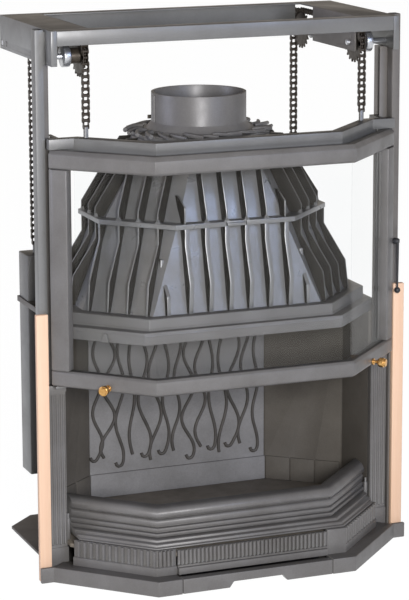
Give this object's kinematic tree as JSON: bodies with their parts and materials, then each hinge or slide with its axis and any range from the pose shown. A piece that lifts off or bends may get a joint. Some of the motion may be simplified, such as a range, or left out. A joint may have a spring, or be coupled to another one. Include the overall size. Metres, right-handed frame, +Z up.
{
  "type": "fireplace insert",
  "caption": "Cast-iron fireplace insert with a three-sided lifting glass door on chains and counterweights, finned smoke hood and round flue collar.",
  "frame": {"origin": "middle of the footprint, on the floor", "axes": "+Z up, the glass door faces -Y, +X to the right as seen from the front"},
  "size_m": [0.826, 0.563, 1.137],
  "materials": {
    "cast_iron_grey": "matte",
    "cast_iron_dark": "matte",
    "primed_steel": "satin",
    "dark_steel": "satin",
    "plain_steel": "satin",
    "pine": "matte",
    "brass": "polished",
    "ceramic_glass": "clear"
  },
  "bodies": {
    "frame": {"base_plate": "primed_steel", "plinth_left": "cast_iron_grey", "plinth_right": "cast_iron_grey", "fluted_band_left": "cast_iron_grey", "fluted_band_right": "cast_iron_grey", "log_guard": "cast_iron_grey", "guard_pins": "plain_steel", "hearth_plate": "cast_iron_dark", "grate": "cast_iron_dark", "fireback": "cast_iron_dark", "wall_left": "cast_iron_dark", "wall_right": "cast_iron_dark", "smoke_baffle": "cast_iron_dark", "column_left": "cast_iron_grey", "column_right": "cast_iron_grey", "hood_base": "cast_iron_grey", "hood_lower": "cast_iron_grey", "hood_flange": "cast_iron_grey", "hood_upper": "cast_iron_grey", "hood_cap": "cast_iron_grey", "flue_collar": "cast_iron_grey", "side_channel_left": "primed_steel", "side_channel_right": "primed_steel", "inner_web_left": "primed_steel", "inner_web_right": "primed_steel", "front_rail": "primed_steel", "rear_rail": "primed_steel", "post_left": "primed_steel", "post_right": "primed_steel", "guide_left": "primed_steel", "guide_right": "primed_steel", "batten_left": "pine", "batten_right": "pine", "axles": "plain_steel", "strap_left": "primed_steel", "strap_right": "primed_steel", "chain_top_left": "dark_steel", "chain_top_right": "dark_steel", "chain_front_left": "dark_steel", "chain_front_right": "dark_steel", "chain_rear_left": "dark_steel", "chain_rear_right": "dark_steel"},
    "carriage": {"carriage": "primed_steel"},
    "door": {"door_rail_top": "cast_iron_grey", "door_rail_bottom": "cast_iron_grey", "door_stiles": "cast_iron_grey", "glass_front": "ceramic_glass", "glass_sides": "ceramic_glass", "door_knobs": "brass"},
    "latch": {"latch_lever": "dark_steel"},
    "weight_left": {"weight_left": "cast_iron_dark"},
    "weight_right": {"weight_right": "cast_iron_dark"},
    "sprocket_front_left": {"sprocket_front_left": "dark_steel"},
    "sprocket_front_right": {"sprocket_front_right": "dark_steel"},
    "sprocket_rear_left": {"sprocket_rear_left": "dark_steel"},
    "sprocket_rear_right": {"sprocket_rear_right": "dark_steel"},
    "ash_drawer": {"ash_drawer_front": "cast_iron_grey", "ash_pan": "dark_steel"},
    "air_flap": {"air_flap": "cast_iron_grey"},
    "damper": {"damper_plate": "cast_iron_dark"}
  },
  "joints": [
    {"name": "door_lift", "type": "slide", "parent": "frame", "child": "carriage", "axis": [0, 0, 1], "range_m": [-0.322, 0.092], "deforming": ["chain_front_left", "chain_front_right"]},
    {"name": "weight_left_drop", "type": "slide", "parent": "frame", "child": "weight_left", "axis": [0, 0, 1], "range_m": [-0.092, 0.322], "deforming": ["chain_rear_left"]},
    {"name": "weight_right_drop", "type": "slide", "parent": "frame", "child": "weight_right", "axis": [0, 0, 1], "range_m": [-0.092, 0.322], "deforming": ["chain_rear_right"]},
    {"name": "sprocket_front_left_turn", "type": "hinge", "parent": "frame", "child": "sprocket_front_left", "pos_m": [-0.303, -0.0675, 1.08], "axis": [1, 0, 0], "range_deg": [-131, 455]},
    {"name": "sprocket_front_right_turn", "type": "hinge", "parent": "frame", "child": "sprocket_front_right", "pos_m": [0.303, -0.0675, 1.08], "axis": [1, 0, 0], "range_deg": [-131, 455]},
    {"name": "sprocket_rear_left_turn", "type": "hinge", "parent": "frame", "child": "sprocket_rear_left", "pos_m": [-0.303, 0.2055, 1.08], "axis": [1, 0, 0], "range_deg": [-131, 455]},
    {"name": "sprocket_rear_right_turn", "type": "hinge", "parent": "frame", "child": "sprocket_rear_right", "pos_m": [0.303, 0.2055, 1.08], "axis": [1, 0, 0], "range_deg": [-131, 455]},
    {"name": "door_swing", "type": "hinge", "parent": "carriage", "child": "door", "pos_m": [-0.3685, -0.10332, 0.655], "axis": [0, 0, -1], "range_deg": [0, 85]},
    {"name": "latch_turn", "type": "hinge", "parent": "door", "child": "latch", "pos_m": [0.379, -0.1105, 0.658], "axis": [-0.7071, 0.7071, 0], "range_deg": [0, 75]},
    {"name": "ash_drawer_slide", "type": "slide", "parent": "frame", "child": "ash_drawer", "axis": [0, -1, 0], "range_m": [0, 0.24]},
    {"name": "air_flap_turn", "type": "hinge", "parent": "frame", "child": "air_flap", "pos_m": [0, -0.2425, 0.038], "axis": [1, 0, 0], "range_deg": [0, 15]},
    {"name": "damper_turn", "type": "hinge", "parent": "frame", "child": "damper", "pos_m": [0, 0.0485, 0.911], "axis": [0, 1, 0], "range_deg": [0, 80]}
  ],
  "couplings": [
    {"joint": "weight_left_drop", "follows": "door_lift", "ratio": -1},
    {"joint": "weight_right_drop", "follows": "door_lift", "ratio": -1},
    {"joint": "sprocket_front_left_turn", "follows": "door_lift", "rad_per_m": -24.631},
    {"joint": "sprocket_front_right_turn", "follows": "door_lift", "rad_per_m": -24.631},
    {"joint": "sprocket_rear_left_turn", "follows": "door_lift", "rad_per_m": -24.631},
    {"joint": "sprocket_rear_right_turn", "follows": "door_lift", "rad_per_m": -24.631}
  ]
}
